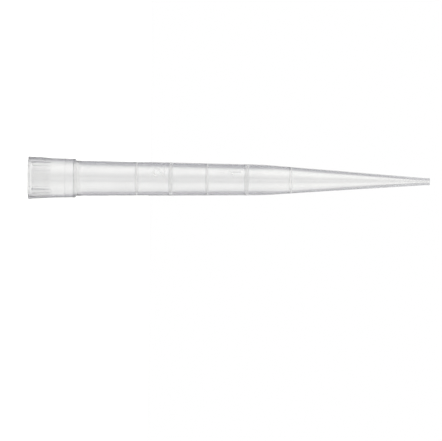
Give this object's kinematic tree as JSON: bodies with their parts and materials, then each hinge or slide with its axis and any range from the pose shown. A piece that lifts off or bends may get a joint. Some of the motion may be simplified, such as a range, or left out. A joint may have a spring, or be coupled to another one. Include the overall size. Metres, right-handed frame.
{
  "type": "pipette tip",
  "caption": "Long tapered pipette tip with a ribbed collar, a step to hang in a rack, and raised volume rings with plain numerals.",
  "frame": {"origin": "centre of the rim, in the plane of the rim's face", "axes": "+Z along the axis, from the rim towards the tapered end; -Y is the front, near the numerals"},
  "size_m": [0.0122, 0.0122, 0.115],
  "materials": {
    "polypropylene": "natural translucent polypropylene, smooth, with matt raised rings"
  },
  "bodies": {
    "root": {"pipette_tip": "polypropylene"}
  },
  "joints": []
}
